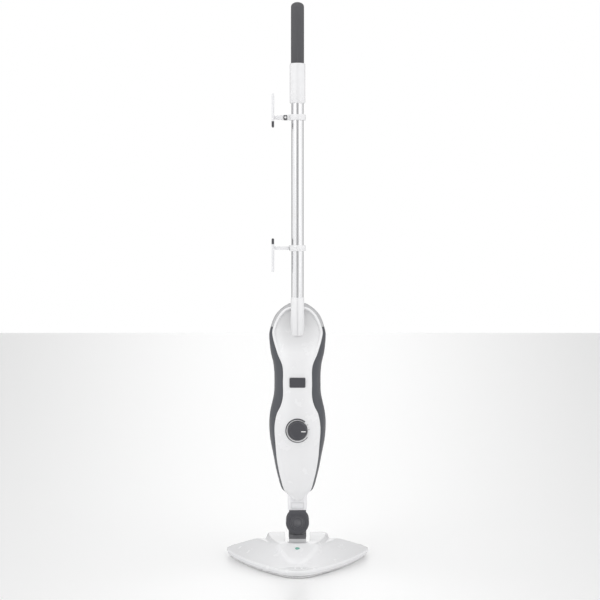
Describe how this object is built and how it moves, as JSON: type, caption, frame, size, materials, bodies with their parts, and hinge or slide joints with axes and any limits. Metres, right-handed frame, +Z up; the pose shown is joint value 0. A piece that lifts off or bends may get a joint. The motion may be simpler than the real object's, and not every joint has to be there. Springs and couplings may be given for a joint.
{
  "type": "steam mop",
  "caption": "Upright steam mop: triangular pad head on a tilting, swivelling joint, white and grey steamer body with knob and button, steel tube, cord hooks and hand loop.",
  "frame": {"origin": "on the floor under the tube's axis, at the underside of the mop pad", "axes": "+Z up along the tube from the floor to the hand loop, -Y to the front with the knob and button, +Y to the rear with the water tank and hand loop, -X to the cord hooks"},
  "size_m": [0.3004, 0.207, 1.1585],
  "materials": {
    "white_gloss": "gloss",
    "light_grey": "satin",
    "dark_grey": "satin",
    "grip_grey": "matte",
    "tube_steel": "brushed",
    "steel": "satin",
    "cast_aluminium": "satin",
    "copper": "satin",
    "board_green": "satin",
    "black_plastic": "matte",
    "silicone": "matte",
    "smoked_tank": "gloss",
    "microfibre": "matte",
    "hook_tape": "matte",
    "teal_print": "gloss"
  },
  "bodies": {
    "floor_head": {"mop_pad": "microfibre", "hook_strips": "hook_tape", "base_plate": "white_gloss", "head_cover": "white_gloss", "steam_manifold": "black_plastic", "head_screws": "steel", "head_badge": "teal_print"},
    "knuckle": {"tilt_drum": "light_grey", "tilt_axle": "steel", "swivel_knuckle": "dark_grey"},
    "knob": {"steam_knob": "dark_grey", "knob_pointer": "white_gloss"},
    "power_key": {"power_button": "dark_grey"},
    "neck_key": {"neck_release_button": "light_grey"},
    "collar_key": {"collar_release_button": "light_grey"},
    "socket_key": {"tube_release_button": "light_grey"},
    "cord_hook": {"upper_hook": "light_grey"},
    "tank": {"water_tank": "smoked_tank", "tank_valve": "black_plastic"},
    "cap": {"tank_cap": "light_grey"},
    "steamer": {"swivel_housing": "dark_grey", "swivel_pin": "steel", "swivel_cap_front": "dark_grey", "swivel_cap_rear": "dark_grey", "neck_tube": "white_gloss", "steam_nozzle": "silicone", "nozzle_o_ring": "black_plastic", "front_shell": "white_gloss", "side_trim_left": "dark_grey", "side_trim_right": "dark_grey", "top_trim_left": "light_grey", "top_trim_right": "light_grey", "rear_upper_shell": "dark_grey", "rear_lower_shell": "dark_grey", "bulkhead": "dark_grey", "tank_coupling": "silicone", "dial_ring": "dark_grey", "knob_potentiometer": "black_plastic", "microswitch": "black_plastic", "control_board": "board_green", "boiler": "cast_aluminium", "heating_element": "steel", "thermostat": "black_plastic", "boiler_bracket": "steel", "pump_body": "black_plastic", "pump_coil": "copper", "inlet_hose": "silicone", "outlet_hose": "silicone", "cord_gland": "black_plastic", "tube_socket": "white_gloss", "upper_tube": "tube_steel", "collar_left": "white_gloss", "collar_right": "white_gloss", "grip_left": "grip_grey", "grip_right": "grip_grey", "upper_clip_ring": "white_gloss", "lower_clip_ring": "white_gloss", "hook_pivot": "dark_grey", "lower_hook": "light_grey"}
  },
  "joints": [
    {"name": "head_tilt", "type": "hinge", "parent": "floor_head", "child": "knuckle", "pos_m": [0, 0, 0.045], "axis": [-1, 0, 0], "range_deg": [0, 60]},
    {"name": "head_swivel", "type": "hinge", "parent": "knuckle", "child": "steamer", "pos_m": [0, 0, 0.09], "axis": [0, 1, 0], "range_deg": [-55, 55]},
    {"name": "knob_turn", "type": "hinge", "parent": "steamer", "child": "knob", "pos_m": [0, -0.045, 0.2815], "axis": [0, 1, 0], "range_deg": [0, 270]},
    {"name": "power_press", "type": "slide", "parent": "steamer", "child": "power_key", "axis": [0, 1, 0], "range_m": [0, 0.002], "stiffness_N_per_m": 600, "springref_m": -0.0005},
    {"name": "neck_release_press", "type": "slide", "parent": "steamer", "child": "neck_key", "axis": [0, 1, 0], "range_m": [0, 0.002], "stiffness_N_per_m": 800, "springref_m": -0.0005},
    {"name": "collar_release_press", "type": "slide", "parent": "steamer", "child": "collar_key", "axis": [0, -1, 0], "range_m": [0, 0.003], "stiffness_N_per_m": 800, "springref_m": -0.0005},
    {"name": "socket_release_press", "type": "slide", "parent": "steamer", "child": "socket_key", "axis": [0, -1, 0], "range_m": [0, 0.003], "stiffness_N_per_m": 800, "springref_m": -0.0005},
    {"name": "hook_swivel", "type": "hinge", "parent": "steamer", "child": "cord_hook", "pos_m": [-0.029, 0, 0.917], "axis": [1, 0, 0], "range_deg": [0, 180]},
    {"name": "tank_slide", "type": "slide", "parent": "steamer", "child": "tank", "axis": [0, 1, 0], "range_m": [0, 0.07]},
    {"name": "cap_lift", "type": "slide", "parent": "tank", "child": "cap", "axis": [0, 1, 0], "range_m": [0, 0.02]}
  ]
}
